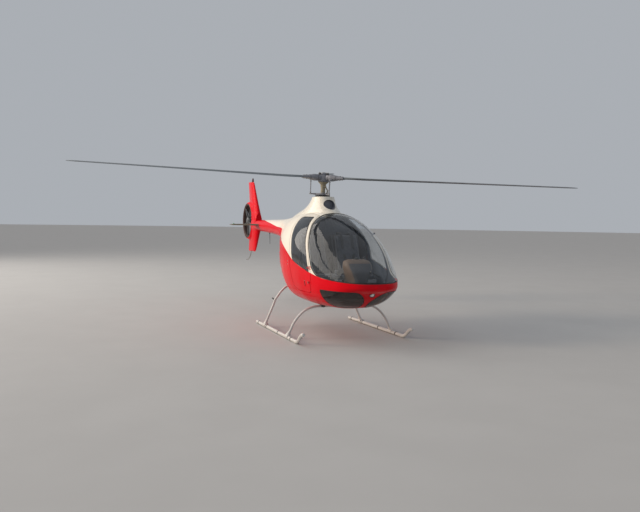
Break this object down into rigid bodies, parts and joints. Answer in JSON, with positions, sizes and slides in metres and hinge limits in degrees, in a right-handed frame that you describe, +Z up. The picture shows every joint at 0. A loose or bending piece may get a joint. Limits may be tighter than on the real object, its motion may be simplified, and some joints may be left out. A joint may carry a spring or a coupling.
{
  "type": "light helicopter",
  "caption": "Light two-seat helicopter on skids with a bubble windshield, hinged cabin doors, a bladed main rotor and a ducted fan tail rotor in the fin.",
  "frame": {"origin": "centre of the flat underside of the belly fitting, on the symmetry plane right under the middle of the rotor head", "axes": "-Y towards the nose, +X to the aircraft's left, +Z up; the skids stand 0.418 m below the origin"},
  "size_m": [5.761, 7.3498, 2.5744],
  "materials": {
    "paint_red": "gloss red moulded composite",
    "paint_white": "gloss cream-white moulded composite",
    "blade_grey": "satin grey",
    "metal_dark": "dark satin metal",
    "metal_bright": "machined steel",
    "paint_grey": "satin grey-green",
    "skid_paint": "satin light grey",
    "plastic_black": "matt black",
    "seat_fabric": "woven dark grey",
    "glass_clear": "clear acrylic",
    "glass_dark": "dark tinted acrylic",
    "lamp_clear": "clear lens"
  },
  "bodies": {
    "fuselage": {"cabin_shell": "paint_red", "windshield_pillar_left": "paint_white", "windshield_pillar_right": "paint_white", "rear_fuselage": "paint_red", "windshield": "glass_clear", "chin_window_left": "glass_dark", "chin_window_right": "glass_dark", "engine_cowl_left": "paint_red", "engine_cowl_right": "paint_red", "tail_boom": "paint_red", "fan_shroud": "paint_red", "upper_fin": "paint_red", "lower_fin": "paint_red", "beacon": "plastic_black", "nose_lamp": "lamp_clear", "boom_aerial": "plastic_black", "tail_skid": "metal_bright", "tailplane_left": "paint_grey", "tailplane_right": "paint_grey", "fan_gearbox": "metal_dark", "mast_fairing": "paint_white", "skid_left": "skid_paint", "skid_right": "skid_paint", "cross_tube_front": "skid_paint", "cross_tube_rear": "skid_paint", "belly_fitting": "metal_dark", "swashplate_fixed": "metal_bright", "cabin_liner": "plastic_black", "engine_block": "metal_dark", "main_gearbox": "metal_dark", "pedals": "plastic_black", "seat_left": "plastic_black", "seat_right": "plastic_black", "seat_cushion_left": "seat_fabric", "seat_cushion_right": "seat_fabric", "back_cushion_left": "seat_fabric", "back_cushion_right": "seat_fabric", "instrument_console": "plastic_black", "exhaust_pipe": "metal_dark", "cyclic_left": "plastic_black", "collective_left": "plastic_black", "cyclic_right": "plastic_black", "collective_right": "plastic_black"},
    "main_rotor": {"blade_1": "blade_grey", "blade_sleeve_1": "metal_dark", "pitch_link_1": "metal_bright", "blade_2": "blade_grey", "blade_sleeve_2": "metal_dark", "pitch_link_2": "metal_bright", "blade_3": "blade_grey", "blade_sleeve_3": "metal_dark", "pitch_link_3": "metal_bright", "rotor_hub": "metal_dark", "rotor_mast": "metal_bright", "swashplate_rotating": "metal_dark"},
    "tail_rotor": {"fan_rotor": "metal_dark"},
    "door_left": {"door_left": "paint_white", "door_window_left": "glass_clear"},
    "door_right": {"door_right": "paint_white", "door_window_right": "glass_clear"}
  },
  "joints": [
    {"name": "main_rotor_spin", "type": "hinge", "parent": "fuselage", "child": "main_rotor", "pos_m": [0, 0, 1.832], "axis": [0.0099, -0.0841, 0.9964], "continuous": true},
    {"name": "tail_rotor_spin", "type": "hinge", "parent": "fuselage", "child": "tail_rotor", "pos_m": [0, 4.03, 1.177], "axis": [1, 0, 0], "continuous": true},
    {"name": "door_left_hinge", "type": "hinge", "parent": "fuselage", "child": "door_left", "pos_m": [0.6, -1, 0.382], "axis": [0, 0, 1], "range_deg": [-70, 0]},
    {"name": "door_right_hinge", "type": "hinge", "parent": "fuselage", "child": "door_right", "pos_m": [-0.6, -1, 0.382], "axis": [0, 0, 1], "range_deg": [0, 70]}
  ],
  "couplings": [
    {"joint": "tail_rotor_spin", "follows": "main_rotor_spin", "ratio": 9.71}
  ]
}
